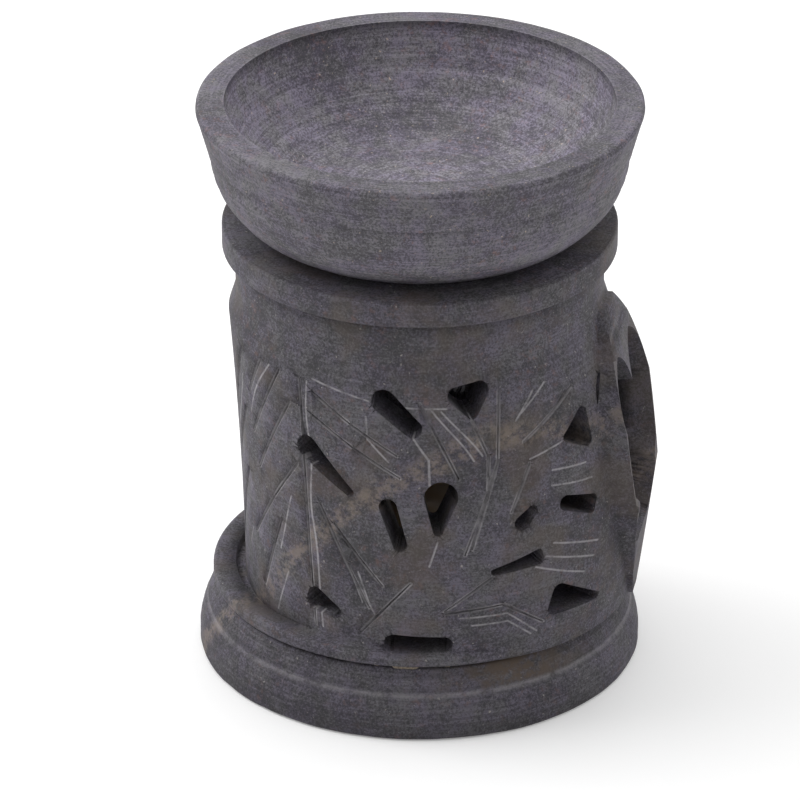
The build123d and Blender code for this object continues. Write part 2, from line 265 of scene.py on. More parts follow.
def reckon(tree, operation, first, second=0.0):
    """One step of arithmetic."""
    return add_node(tree, "ShaderNodeMath", {0: first, 1: second}, operation=operation).outputs[0]


def fade(tree, value, start, end, low=0.0, high=1.0):
    """A smooth step from low to high as the value goes from start to end."""
    sockets = {"Value": value, "From Min": start, "From Max": end, "To Min": low, "To Max": high}
    made = add_node(tree, "ShaderNodeMapRange", sockets, interpolation_type="SMOOTHSTEP")
    return made.outputs["Result"]


def blend_colours(tree, share, under, over, blend="MIX"):
    """One colour over another, by a share from 0 to 1."""
    sockets = {0: share, 6: under, 7: over}
    made = add_node(tree, "ShaderNodeMix", sockets, data_type="RGBA", blend_type=blend)
    return made.outputs[2]


def cloud(tree, place, size, detail=4.0, roughness=0.55):
    """Soft noise whose lumps are about this many millimetres across."""
    sockets = {"Vector": place, "Scale": 1 / size, "Detail": detail, "Roughness": roughness}
    return add_node(tree, "ShaderNodeTexNoise", sockets).outputs[0]


def start_group(name, inputs, outputs):
    """A new shader node group, with its input and output sockets."""
    tree = bpy.data.node_groups.new(name, "ShaderNodeTree")
    for label, kind in inputs.items():
        tree.interface.new_socket(label, in_out="INPUT", socket_type="NodeSocket" + kind)
    for label, kind in outputs.items():
        tree.interface.new_socket(label, in_out="OUTPUT", socket_type="NodeSocket" + kind)
    return tree, tree.nodes.new("NodeGroupInput").outputs, tree.nodes.new("NodeGroupOutput").inputs


# %% [markdown]
# ### Grain
# Close up, the stone is a dark and a lighter grey in soft patches with a sandy grain over them. Its hue
# drifts between violet and olive, and it has rusty blotches and scattered pale flecks. Three sizes of noise
# give the patches and the grain, and others are cut off high up so that only their peaks show as spots.

# %% Node group: stone grain
grain_group, given, wanted = start_group(
    "stone_grain",
    {"Place": "Vector", "Dark": "Color", "Light": "Color", "Rust": "Color", "Fleck": "Color"},
    {"Color": "Color", "Height": "Float"},
)
VIOLET = (1.02, 0.97, 1.07, 1)
OLIVE = (1.00, 1.00, 0.95, 1)
broad = cloud(grain_group, given["Place"], 14, 3)
patch = cloud(grain_group, given["Place"], 2.2, 5, 0.65)
sand = cloud(grain_group, given["Place"], 0.42, 3, 0.8)
tone = reckon(grain_group, "MULTIPLY", broad, 0.20)
tone = reckon(grain_group, "ADD", tone, reckon(grain_group, "MULTIPLY", patch, 0.22))
tone = reckon(grain_group, "ADD", tone, reckon(grain_group, "MULTIPLY", sand, 0.58))
colour = blend_colours(grain_group, fade(grain_group, tone, 0.425, 0.585), given["Dark"], given["Light"])
hue = fade(grain_group, cloud(grain_group, given["Place"], 4.5, 4, 0.6), 0.38, 0.62)
colour = blend_colours(grain_group, 1.0, colour, blend_colours(grain_group, hue, OLIVE, VIOLET), "MULTIPLY")
rust_zone = fade(grain_group, cloud(grain_group, given["Place"], 9, 2), 0.44, 0.62)
rust_spots = fade(grain_group, cloud(grain_group, given["Place"], 1.5, 4, 0.7), 0.54, 0.70)
rust = reckon(grain_group, "MULTIPLY", rust_zone, rust_spots)
colour = blend_colours(grain_group, reckon(grain_group, "MULTIPLY", rust, 0.6), colour, given["Rust"])
flecks = fade(grain_group, cloud(grain_group, given["Place"], 0.7, 2), 0.68, 0.78)
colour = blend_colours(grain_group, flecks, colour, given["Fleck"])
grain_group.links.new(colour, wanted["Color"])
grain_group.links.new(sand, wanted["Height"])
print("group", grain_group.name)

# %% [markdown]
# ### Turning lines
# A lathe leaves fine rings. Noise that is read at (radius, height) instead of at the place itself runs round
# the axis in rings, and a slow drift along the way keeps each ring from closing perfectly.

# %% Node group: turning lines
lines_group, given, wanted = start_group(
    "turning_lines", {"Place": "Vector", "Spacing": "Float"}, {"Line": "Float", "Height": "Float"}
)
apart = add_node(lines_group, "ShaderNodeSeparateXYZ", {0: given["Place"]}).outputs
squares = reckon(lines_group, "ADD", reckon(lines_group, "MULTIPLY", apart[0], apart[0]),
                 reckon(lines_group, "MULTIPLY", apart[1], apart[1]))
radius = reckon(lines_group, "SQRT", squares)
drift = reckon(lines_group, "MULTIPLY", cloud(lines_group, given["Place"], 22, 2), 3.0)
ring_place = add_node(lines_group, "ShaderNodeCombineXYZ", {
    0: reckon(lines_group, "DIVIDE", radius, given["Spacing"]),
    1: reckon(lines_group, "DIVIDE", apart[2], given["Spacing"]),
    2: drift,
}).outputs[0]
rings = cloud(lines_group, ring_place, 1.0, 4, 0.75)
lines_group.links.new(fade(lines_group, rings, 0.38, 0.64), wanted["Line"])
lines_group.links.new(rings, wanted["Height"])
print("group", lines_group.name)

# %% [markdown]
# ### Wear
# Worn edges and scratches are paler than the skin of the stone, and broken up where the hand or the tool
# missed them.

# %% Node group: pale wear
wear_group, given, wanted = start_group(
    "pale_wear",
    {"Place": "Vector", "Color": "Color", "Pale": "Color", "Edge": "Float", "Scratch": "Float"},
    {"Color": "Color", "Mask": "Float"},
)
breaks = fade(wear_group, cloud(wear_group, given["Place"], 1.1, 4, 0.7), 0.36, 0.60)
edge = reckon(wear_group, "MULTIPLY", given["Edge"], breaks)
scratch_breaks = fade(wear_group, cloud(wear_group, given["Place"], 2.4, 3, 0.6), 0.30, 0.56, 0.25, 1.0)
scratch = reckon(wear_group, "MULTIPLY", given["Scratch"], scratch_breaks)
mask = reckon(wear_group, "MAXIMUM", edge, scratch)
wear_group.links.new(blend_colours(wear_group, mask, given["Color"], given["Pale"]), wanted["Color"])
wear_group.links.new(mask, wanted["Mask"])
print("group", wear_group.name)

# %% [markdown]
# ### The graver's strokes
# A stroke is a short list of points on the unrolled wall: degrees from the door, and the share of the wall's
# height. The main ones repeat the CAD's grooves. The fine ones are scratches, too shallow to be worth geometry.
# Both sides of the door carry the same panel, and the panel opposite it has veins at both sides of a midrib. In the
# material, every stroke becomes a thin pale line: a point's distance from a short line is worked out on
# the unrolled wall, and the nearest line counts.

# %% Strokes on the unrolled wall
MAIN_VEINS = [
    [(-113.5, 0.94), (-100.0, 0.852), (-86.5, 0.764)],
    [(-113.0, 0.853), (-99.0, 0.77), (-85.5, 0.686)],
    [(-80.0, 0.95), (-69.0, 0.686)],
    [(-65.0, 0.882), (-60.5, 0.754), (-61.0, 0.627), (-67.5, 0.411)],
    [(-56.5, 0.97), (-58.0, 0.735), (-65.5, 0.43)],
    [(-31.0, 0.912), (-50.0, 0.784)],
    [(-48.5, 0.705), (-54.5, 0.548)],
    [(-110.5, 0.538), (-94.5, 0.194)],
    [(-105.5, 0.479), (-90.5, 0.283)],
    [(-97.5, 0.096), (-82.5, 0.303)],
    [(-60.0, 0.322), (-73.0, 0.204)],
    [(-72.5, 0.194), (-56.5, 0.214), (-45.0, 0.116)],
    [(-118.0, 0.97), (-113.0, 0.075)],
    [(-135.5, 0.97), (-143.5, 0.813)],
    [(-126.5, 0.97), (-141.5, 0.676)],
    [(-122.0, 0.872), (-138.5, 0.558)],
    [(-119.0, 0.656), (-131.0, 0.475), (-143.0, 0.293)],
    [(-127.0, 0.411), (-138.0, 0.116)],
    [(-148.0, 0.95), (-162.0, 0.617)],
    [(-147.0, 0.735), (-163.0, 0.401)],
    [(-148.0, 0.499), (-162.0, 0.185)],
    [(-178.0, 0.95), (-178.0, 0.086)],
]
FINE_VEINS = [
    [(-76.5, 0.93), (-66.0, 0.745)],
    [(-73.5, 0.92), (-63.5, 0.76)],
    [(-95.5, 0.892), (-95.0, 0.813), (-88.0, 0.74)],
    [(-82.0, 0.833), (-78.0, 0.754), (-77.5, 0.646)],
    [(-75.0, 0.46), (-77.0, 0.371)],
    [(-42.0, 0.96), (-51.0, 0.882)],
    [(-46.0, 0.95), (-53.0, 0.86)],
    [(-37.0, 0.745), (-48.5, 0.72)],
    [(-69.0, 0.175), (-56.0, 0.178), (-46.0, 0.086)],
    [(-66.0, 0.145), (-56.0, 0.148), (-48.0, 0.08)],
    [(-42.0, 0.607), (-28.0, 0.578)],
    [(-41.0, 0.66), (-29.0, 0.64)],
    [(-41.0, 0.401), (-27.0, 0.342)],
    [(-43.0, 0.36), (-28.0, 0.293)],
    [(-46.0, 0.33), (-31.0, 0.25)],
    [(-116.0, 0.97), (-111.0, 0.075)],
    [(-114.0, 0.985), (-88.0, 0.935), (-72.0, 0.93)],
    [(-131.5, 0.97), (-143.5, 0.74)],
    [(-125.0, 0.558), (-142.0, 0.303)],
    [(-123.5, 0.224), (-128.5, 0.057)],
    [(-121.0, 0.52), (-127.0, 0.30)],
    [(-99.0, 0.32), (-91.0, 0.16)],
    [(-103.0, 0.34), (-96.0, 0.21)],
    [(-148.0, 0.85), (-162.0, 0.517)],
    [(-147.0, 0.283), (-156.0, 0.077)],
    [(-166.0, 0.95), (-176.0, 0.80)],
    [(-166.0, 0.774), (-176.0, 0.558)],
    [(-166.0, 0.46), (-176.0, 0.244)],
]
WALL_FOOT, WALL_RISE, BELLY_SHARE = 12.6, 50.9, 0.48
WALL_CIRCLES = [(33.3, 3.5), (33.9, 3.4), (32.3, 0.0)]
MM_PER_DEGREE = 0.585

# %% Node group: graver lines
MAIN_LINE, FINE_LINE = 0.48, 0.24
OUTER_FACE = 30.8
graver_group, given, wanted = start_group("graver_lines", {"Place": "Vector"}, {"Mask": "Float"})
apart = add_node(graver_group, "ShaderNodeSeparateXYZ", {0: given["Place"]}).outputs
turn = reckon(graver_group, "ABSOLUTE", reckon(graver_group, "ARCTAN2", apart[1], apart[0]))
across = reckon(graver_group, "MULTIPLY", turn, -math.degrees(1) * MM_PER_DEGREE)
wander = reckon(graver_group, "SUBTRACT", cloud(graver_group, given["Place"], 15, 0), 0.5)
wandering = reckon(graver_group, "ADD", across, reckon(graver_group, "MULTIPLY", wander, 3.5))
main_spot = add_node(graver_group, "ShaderNodeCombineXYZ", {0: across, 1: apart[2]}).outputs[0]
fine_spot = add_node(graver_group, "ShaderNodeCombineXYZ", {0: wandering, 1: apart[2]}).outputs[0]
mask = None
for lines, half_width, spot in ((MAIN_VEINS, MAIN_LINE, main_spot), (FINE_VEINS, FINE_LINE, fine_spot)):
    for points in lines:
        knots = [np.array((angle * MM_PER_DEGREE, WALL_FOOT + WALL_RISE * share, 0)) for angle, share in points]
        for start, end in zip(knots, knots[1:]):
            span = end - start
            from_start = add_node(graver_group, "ShaderNodeVectorMath", {0: spot, 1: start}, operation="SUBTRACT")
            along = add_node(graver_group, "ShaderNodeVectorMath",
                             {0: from_start.outputs[0], 1: span / (span @ span)}, operation="DOT_PRODUCT")
            share = add_node(graver_group, "ShaderNodeClamp", {0: along.outputs["Value"]}).outputs[0]
            foot_point = add_node(graver_group, "ShaderNodeVectorMath", {0: span, "Scale": share}, operation="SCALE")
            gap = add_node(graver_group, "ShaderNodeVectorMath", {0: from_start.outputs[0], 1: foot_point.outputs[0]},
                           operation="DISTANCE").outputs["Value"]
            line = fade(graver_group, gap, half_width, half_width * 0.35)
            mask = line if mask is None else reckon(graver_group, "MAXIMUM", mask, line)
from_axis = add_node(graver_group, "ShaderNodeCombineXYZ", {0: apart[0], 1: apart[1]}).outputs[0]
radius = add_node(graver_group, "ShaderNodeVectorMath", {0: from_axis}, operation="LENGTH").outputs["Value"]
outer_face = fade(graver_group, radius, OUTER_FACE - 0.6, OUTER_FACE)
graver_group.links.new(reckon(graver_group, "MULTIPLY", mask, outer_face), wanted["Mask"])
print("group", graver_group.name, "with", len(MAIN_VEINS) + len(FINE_VEINS), "strokes")

# %% [markdown]
# ## Stone materials
# The three stones share a recipe: grain, then turning lines that lighten and darken it, then stains, then
# wear on top. The body is the darkest, with brown stains and one tan vein that runs through the block at a
# slant; the foot has a rough brown smear; the dish is the palest and has the strongest turning lines.

# %% Recipe for a stone material
def start_material(name):
    """A new node material: its tree, its shader and the place on the piece in millimetres."""
    material = bpy.data.materials.new(name)
    material.use_nodes = True
    tree = material.node_tree
    shader = tree.nodes["Principled BSDF"]
    object_place = add_node(tree, "ShaderNodeTexCoord").outputs["Object"]
    scaled = add_node(tree, "ShaderNodeVectorMath", {0: object_place, "Scale": 1 / MM}, operation="SCALE")
    return material, tree, shader, scaled.outputs[0]


def attribute(tree, name):
    """A number kept on the piece's points."""
    return add_node(tree, "ShaderNodeAttribute", attribute_name=name).outputs["Fac"]


def stone_skin(tree, place, dark, light, rust, fleck, spacing, line_share):
    """Grain with turning lines over it: its colour and its height."""
    grain = add_node(tree, "ShaderNodeGroup", {
        "Place": place, "Dark": (*dark, 1), "Light": (*light, 1), "Rust": (*rust, 1), "Fleck": (*fleck, 1),
    }, node_tree=grain_group).outputs
    lines = add_node(tree, "ShaderNodeGroup", {"Place": place, "Spacing": spacing}, node_tree=lines_group).outputs
    shade = fade(tree, lines["Line"], 0.0, 1.0, 1 - line_share, 1 + line_share)
    shade_colour = add_node(tree, "ShaderNodeCombineColor", {0: shade, 1: shade, 2: shade}).outputs[0]
    colour = blend_colours(tree, 1.0, grain["Color"], shade_colour, "MULTIPLY")
    height = reckon(tree, "ADD", reckon(tree, "MULTIPLY", grain["Height"], 0.5),
                    reckon(tree, "MULTIPLY", lines["Height"], 0.5))
    return colour, height


def finish_stone(tree, shader, place, colour, height, pale, bump_strength, scratch=None):
    """Lays the wear over a stone and joins it to the shader."""
    scratch = scratch or attribute(tree, "scratch")
    worn = add_node(tree, "ShaderNodeGroup", {
        "Place": place, "Color": colour, "Pale": (*pale, 1),
        "Edge": attribute(tree, "edge_wear"), "Scratch": scratch,
    }, node_tree=wear_group).outputs
    tree.links.new(worn["Color"], shader.inputs["Base Color"])
    rough = fade(tree, height, 0.3, 0.7, 0.66, 0.84)
    tree.links.new(rough, shader.inputs["Roughness"])
    shader.inputs["Specular IOR Level"].default_value = 0.35
    bump = add_node(tree, "ShaderNodeBump", {"Strength": bump_strength, "Distance": 0.15 * MM, "Height": height})
    tree.links.new(bump.outputs[0], shader.inputs["Normal"])


def band(tree, value, middle, half_width, soft):
    """1 within a band round the middle value, fading to 0 at its soft edges."""
    off = reckon(tree, "ABSOLUTE", reckon(tree, "SUBTRACT", value, middle))
    return fade(tree, off, half_width + soft, half_width)


# %% [markdown]
# The tan vein is a slanting sheet in the block, so it is found from the distance to one plane and shows on the
# wall and on the foot alike.

# %% Body, foot and dish stone
VEIN_NORMAL = (0.458, -0.616, -0.643)
VEIN_OFFSET = 8.7
TAN = (0.250, 0.200, 0.160)
BROWN = (0.105, 0.082, 0.066)
PALE = (0.52, 0.50, 0.52)


def add_vein(tree, place, colour, share):
    """The tan sheet that runs through the block, broken up by noise."""
    lean = add_node(tree, "ShaderNodeVectorMath", {0: place, 1: VEIN_NORMAL}, operation="DOT_PRODUCT").outputs["Value"]
    wander = reckon(tree, "MULTIPLY", cloud(tree, place, 7, 3), 5.0)
    off = reckon(tree, "ADD", reckon(tree, "ADD", lean, VEIN_OFFSET - 2.5), wander)
    vein = band(tree, off, 0.0, 0.6, 2.0)
    broken = fade(tree, cloud(tree, place, 2.2, 4, 0.7), 0.40, 0.62)
    vein = reckon(tree, "MULTIPLY", reckon(tree, "MULTIPLY", vein, broken), share)
    return blend_colours(tree, vein, colour, (*TAN, 1))


body_stone, tree, shader, place = start_material("body_stone")
colour, height = stone_skin(tree, place, (0.042, 0.040, 0.046), (0.126, 0.121, 0.140), (0.145, 0.088, 0.080),
                            (0.28, 0.26, 0.25), 0.55, 0.14)
stain = fade(tree, cloud(tree, place, 11, 4, 0.6), 0.47, 0.66, 0.0, 0.45)
colour = blend_colours(tree, stain, colour, (*BROWN, 1))
colour = add_vein(tree, place, colour, 0.5)
lines = add_node(tree, "ShaderNodeGroup", {"Place": place}, node_tree=graver_group).outputs["Mask"]
height = reckon(tree, "SUBTRACT", height, reckon(tree, "MULTIPLY", lines, 0.8))
scratch = reckon(tree, "MULTIPLY", lines, 0.42)
finish_stone(tree, shader, place, colour, height, PALE, 0.5, scratch)

foot_stone, tree, shader, place = start_material("foot_stone")
colour, height = stone_skin(tree, place, (0.036, 0.034, 0.040), (0.108, 0.103, 0.120), (0.122, 0.075, 0.066),
                            (0.25, 0.23, 0.22), 0.5, 0.20)
smear_noise = cloud(tree, place, 5, 5, 0.7)
smear = reckon(tree, "MULTIPLY", attribute(tree, "smear"), fade(tree, smear_noise, 0.40, 0.56))
colour = blend_colours(tree, smear, colour, (0.085, 0.062, 0.047, 1))
colour = add_vein(tree, place, colour, 0.5)
finish_stone(tree, shader, place, colour, height, PALE, 0.5)

dish_stone, tree, shader, place = start_material("dish_stone")
colour, height = stone_skin(tree, place, (0.064, 0.061, 0.071), (0.176, 0.168, 0.194), (0.195, 0.118, 0.110),
                            (0.36, 0.30, 0.25), 0.5, 0.16)
# Painted light: the inside of the bowl is made up to 1.7 times lighter, for the light that falls into it from above.
inside_light_gain = fade(tree, attribute(tree, "painted_inside_light"), 0.0, 1.0, 1.0, 1.7)
painted_inside_light = add_node(tree, "ShaderNodeCombineColor", {0: inside_light_gain, 1: inside_light_gain, 2: inside_light_gain}).outputs[0]
colour = blend_colours(tree, 1.0, colour, painted_inside_light, "MULTIPLY")
finish_stone(tree, shader, place, colour, height, (0.30, 0.29, 0.32), 0.6)
print("stone materials", body_stone.name, foot_stone.name, dish_stone.name)

# %% [markdown]
# ## Foot
# On the real burner the foot is a turned disc with an upright band below and a swelling shoulder above it, and
# one scribed ring half way up. It could stay the plain CAD disc, but then its lathe marks would only be
# painted on. Turned again from the same sizes, it gets real rings, and soft clouds take off its
# machine-made evenness.

# %% Turn the foot
foot_low, foot_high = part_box("foot")
foot_radius = foot_high.x / MM
foot_height = foot_high.z / MM
FOOT_SHOULDER = 34.8
FOOT_BAND = 3.0
FOOT_EDGE = 0.7
SCRIBE_HEIGHT = 7.9
SCRIBE_WIDTH = 0.55
SCRIBE_DEPTH = 0.35
RING_STEP = 0.42
TURNS = 320

rng = random.Random(4)
shoulder_top = (FOOT_SHOULDER + 0.15, foot_height - FOOT_EDGE)
section = straight((0, foot_height), (FOOT_SHOULDER - FOOT_EDGE, foot_height), 1.6)
section += arc((FOOT_SHOULDER - FOOT_EDGE, foot_height), (FOOT_SHOULDER - 0.15, foot_height - 0.2), shoulder_top, 0.25)
section += arc(shoulder_top, (37.0, 7.65), (foot_radius, FOOT_BAND), RING_STEP)
section += straight((foot_radius, FOOT_BAND), (foot_radius, 0.6), RING_STEP)
section += arc((foot_radius, 0.6), (foot_radius - 0.18, 0.18), (foot_radius - 0.6, 0), 0.25)
section += straight((foot_radius - 0.6, 0), (0, 0), 2.5) + [(0, 0)]
section = tool_marks(section, 0.09, rng)
foot = turn_on_lathe("turned_foot", section, TURNS)

# %% Scribe the ring and wear the foot
places = read_points(foot)
outward = np.hypot(places[:, 0], places[:, 1])
on_side = outward > FOOT_SHOULDER - FOOT_EDGE
scribe = np.clip(1 - np.abs(places[:, 2] - SCRIBE_HEIGHT) / SCRIBE_WIDTH, 0, 1) * on_side
places[:, :2] *= (1 - scribe * SCRIBE_DEPTH / np.maximum(outward, 1))[:, None]
write_points(foot, places)
roughen(foot, "foot_unevenness", 9, 0.35)
choose(foot)
bpy.ops.object.shade_smooth_by_angle(angle=math.radians(45))

places = read_points(foot)
angle = np.degrees(np.arctan2(places[:, 1], places[:, 0]))
rubbed = np.clip(1.15 - np.abs(angle + 52) / 24, 0, 1) * np.clip((places[:, 2] - 7.6) / 1.2, 0, 1) * on_side
paint_points(foot, "smear", rubbed)
paint_points(foot, "scratch", scribe * 0.25)
paint_points(foot, "edge_wear", np.clip(edge_stand(foot) * 3 - 0.25, 0, 0.8) * on_side)
dress(foot, "burner", "body_stone", foot_stone, "foot")

# %% [markdown]
# ## Oil dish
# The dish is a bowl with a swelling lip and a flat rim. Inside it the tool has left strong rings, with two
# small ledges where the turner stopped and started again. It is turned from the CAD sizes, and the ledges are
# points of the section.

# %% Turn the dish
dish_low, dish_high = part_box("oil_dish")
rim_height = dish_high.z / MM
spigot_height = dish_low.z / MM
lip_radius = dish_high.x / MM
SEAT_HEIGHT = 79.5
SPIGOT_RADIUS = 20.7
SEAT_RADIUS = 25.9
BOWL_RADIUS = 35.4
LIP_FOOT_RADIUS = 35.7
LIP_HEIGHT = 93.4
LIP_ROUND = 1.1
RIM_INNER = 32.6
DISH_FLOOR = 85.7
DISH_FLOOR_RADIUS = 17.0
LEDGES = [(28.6, 0.45), (24.2, 0.35)]

rng = random.Random(11)
lip_top = (lip_radius, rim_height - LIP_ROUND)
inside = straight((0, DISH_FLOOR - 0.6), (DISH_FLOOR_RADIUS, DISH_FLOOR), 0.6)
inside += arc((DISH_FLOOR_RADIUS, DISH_FLOOR), (27.92, 91.04), (RIM_INNER, rim_height), 0.45)
inside = [
    (r, z - sum(depth * max(0.0, 1 - (ledge - r) / 1.6) for ledge, depth in LEDGES if 0 <= ledge - r < 1.6))
    for r, z in inside
]
rim = straight((RIM_INNER, rim_height), (lip_radius - LIP_ROUND, rim_height), 0.5)
rim += arc((lip_radius - LIP_ROUND, rim_height), (lip_radius - 0.32, rim_height - 0.32), lip_top, 0.3)
outside = arc(lip_top, (36.5, 96.44), (LIP_FOOT_RADIUS, LIP_HEIGHT), 0.5)
outside += straight((LIP_FOOT_RADIUS, LIP_HEIGHT), (BOWL_RADIUS, LIP_HEIGHT), 0.3)
bowl_radius = ((BOWL_RADIUS - SEAT_RADIUS) ** 2 + (LIP_HEIGHT - SEAT_HEIGHT) ** 2) / 2 / (BOWL_RADIUS - SEAT_RADIUS)
bowl_turn = math.asin((LIP_HEIGHT - SEAT_HEIGHT) / bowl_radius) / 2
bowl_middle = (
    BOWL_RADIUS - bowl_radius * (1 - math.cos(bowl_turn)),
    LIP_HEIGHT - bowl_radius * math.sin(bowl_turn),
)
outside += arc((BOWL_RADIUS, LIP_HEIGHT), bowl_middle, (SEAT_RADIUS, SEAT_HEIGHT), 0.5)
under = straight((SEAT_RADIUS, SEAT_HEIGHT), (SPIGOT_RADIUS, SEAT_HEIGHT), 1.5)
under += straight((SPIGOT_RADIUS, SEAT_HEIGHT), (SPIGOT_RADIUS, spigot_height), 1.2)
under += straight((SPIGOT_RADIUS, spigot_height), (0, spigot_height), 2.5) + [(0, spigot_height)]
section = tool_marks(inside, 0.22, rng) + tool_marks(rim, 0.05, rng) + tool_marks(outside, 0.10, rng) + under
dish = turn_on_lathe("turned_dish", section, TURNS)

# %% Wear the dish, and paint light onto its inside
RIM_PIT = (32.9, -125.0)
places = read_points(dish)
pit_at = (RIM_PIT[0] * math.cos(math.radians(RIM_PIT[1])), RIM_PIT[0] * math.sin(math.radians(RIM_PIT[1])))
from_pit = np.hypot(places[:, 0] - pit_at[0], places[:, 1] - pit_at[1])
places[:, 2] -= 0.8 * np.clip(1 - from_pit / 1.4, 0, 1) * (places[:, 2] > LIP_HEIGHT)
write_points(dish, places)
roughen(dish, "dish_unevenness", 12, 0.3)
choose(dish)
bpy.ops.object.shade_smooth_by_angle(angle=math.radians(45))
places = read_points(dish)
above = places[:, 2] > SEAT_HEIGHT + 1
paint_points(dish, "scratch", np.zeros(len(places)))
# Marks the inside of the bowl, which the material paints lighter as painted light from above.
facing = (places * read_points(dish, "normal"))[:, :2].sum(axis=1)
inside_points = (facing < 2.0) & (places[:, 2] > DISH_FLOOR - 1.5)
paint_points(dish, "painted_inside_light", inside_points * np.clip((rim_height - places[:, 2]) / 2.5, 0, 1))
paint_points(dish, "edge_wear", np.clip(edge_stand(dish) * 2.5 - 0.2, 0, 0.8) * above)
dress(dish, "dish", "dish_stone", dish_stone, "oil_dish")

# %% [markdown]
# ## Pierced chamber
# One block, carved by hand: leaves pierced right through, and veins, stems and frame lines cut into the face
# with a graver. The CAD solid has the through-going shapes and the main veins. A remesh would round off the thin
# rim of the door and the edges of the leaves, so the solid's own mesh is copied and carved further.

# %% Copy the solid
choose(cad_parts["pierced_chamber"])
bpy.ops.object.duplicate()
chamber = bpy.context.object
chamber.name = "carved_chamber"
mesh = chamber.data
bpy.ops.object.mode_set(mode="EDIT")
bpy.ops.mesh.select_all(action="SELECT")
bpy.ops.mesh.remove_doubles(threshold=0.001 * MM)
bpy.ops.object.mode_set(mode="OBJECT")
print("chamber has", len(mesh.polygons), "triangles")

# %% [markdown]
# The wall is a loft through three circles that stand off the axis, so its distance from the axis can be worked
# out for any angle and height.

# %% The uncut wall, and points along a stroke
def wall_radius(turn, up):
    """How far the uncut wall stands from the axis: a loft through three circles that are off the axis."""
    share = (up - WALL_FOOT) / WALL_RISE
    weights = (
        (share - BELLY_SHARE) * (share - 1) / BELLY_SHARE,
        share * (1 - share) / (BELLY_SHARE * (1 - BELLY_SHARE)),
        share * (share - BELLY_SHARE) / (1 - BELLY_SHARE),
    )
    radius = sum(weight * circle[0] for weight, circle in zip(weights, WALL_CIRCLES))
    shift = sum(weight * circle[1] for weight, circle in zip(weights, WALL_CIRCLES))
    return shift * np.cos(turn) + np.sqrt(radius**2 - (shift * np.sin(turn)) ** 2)


def smooth_stroke(points, spacing=0.1):
    """Points along a stroke, in millimetres across and up the unrolled wall."""
    knots = np.array([(across * MM_PER_DEGREE, WALL_FOOT + WALL_RISE * share) for across, share in points])
    curve = []
    for here, there in zip(knots, knots[1:]):
        count = max(2, round(np.linalg.norm(there - here) / spacing))
        curve += [here + (there - here) * i / count for i in range(count)]
    return np.array(curve + [knots[-1]])


def reach_of_stroke(across, up, curve, span):
    """Which points lie about a span from a curve, how far off they are, and its point nearest to each."""
    low, high = curve.min(axis=0) - span, curve.max(axis=0) + span
    near = np.flatnonzero((across > low[0]) & (across < high[0]) & (up > low[1]) & (up < high[1]))
    gap = np.hypot(across[near, None] - curve[None, :, 0], up[near, None] - curve[None, :, 1])
    best = gap.argmin(axis=1)
    return near, gap[np.arange(len(near)), best], best


main_strokes = [smooth_stroke(points) for points in MAIN_VEINS]
print(len(main_strokes), "strokes on each side of the door")

# %% [markdown]
# ### Narrowing the main veins
# The CAD's veins are plain tapering grooves, about twice as wide as a graver's. Every point of a groove is drawn
# towards the middle of its stroke, along the wall, and the points at its bottom are sunk a little.

# %% Narrow and deepen the main veins
GROOVE_REACH, GROOVE_DEPTH = 0.62, 0.6
NARROWED, DEEPENED = 0.6, 0.12
WALL_LOW, WALL_HIGH = WALL_FOOT + 2.6, WALL_FOOT + WALL_RISE - 0.2


def unroll(places):
    """Distance from the axis, place across the unrolled wall and depth below the uncut wall, in millimetres."""
    turn = np.arctan2(places[:, 1], places[:, 0])
    outward = np.hypot(places[:, 0], places[:, 1])
    return outward, np.degrees(turn) * MM_PER_DEGREE, wall_radius(turn, places[:, 2]) - outward


def roll_up(across, up, depth):
    """Places from the unrolled wall."""
    turn = np.radians(across / MM_PER_DEGREE)
    outward = wall_radius(turn, up) - depth
    return np.column_stack([outward * np.cos(turn), outward * np.sin(turn), up])


places = read_points(chamber)
outward, across, depth = unroll(places)
on_face = (depth > -0.05) & (depth < GROOVE_DEPTH) & (places[:, 2] > WALL_LOW) & (places[:, 2] < WALL_HIGH)
moved = 0
for mirror in (1, -1):
    for curve in main_strokes:
        near, gap, best = reach_of_stroke(mirror * across, places[:, 2], curve, GROOVE_REACH)
        keep = on_face[near] & (gap < GROOVE_REACH)
        near, middle = near[keep], curve[best[keep]]
        new_across = middle[:, 0] + (mirror * across[near] - middle[:, 0]) * NARROWED
        new_up = middle[:, 1] + (places[near, 2] - middle[:, 1]) * NARROWED
        new_depth = depth[near] + DEEPENED * (depth[near] > 0.15)
        places[near] = roll_up(mirror * new_across, new_up, new_depth)
        on_face[near] = False
        moved += len(near)
write_points(chamber, places)
print(moved, "points of the main veins moved")

# %% Dress the chamber
choose(chamber)
bpy.ops.object.shade_smooth_by_angle(angle=math.radians(30))
paint_points(chamber, "edge_wear", np.zeros(len(places)))
dress(chamber, "burner", "body_stone", body_stone, "pierced_chamber")

# %% [markdown]
# ## Cement
# A grey-tan cement holds the chamber on the foot. Most of it is hidden, and a few crumbs have squeezed out
# into the crevice. The ring is turned, and its outer edge is then pulled out in lumps here and there.

# %% Cement ring with crumbs in the crevice
cement, tree, shader, place = start_material("cement")
grit = cloud(tree, place, 0.6, 5, 0.7)
tree.links.new(blend_colours(tree, fade(tree, grit, 0.35, 0.65), (0.115, 0.092, 0.070, 1), (0.30, 0.25, 0.19, 1)),
               shader.inputs["Base Color"])
tree.links.new(fade(tree, grit, 0.3, 0.7, 0.8, 0.95), shader.inputs["Roughness"])
bump = add_node(tree, "ShaderNodeBump", {"Strength": 0.8, "Distance": 0.2 * MM, "Height": grit})
tree.links.new(bump.outputs[0], shader.inputs["Normal"])

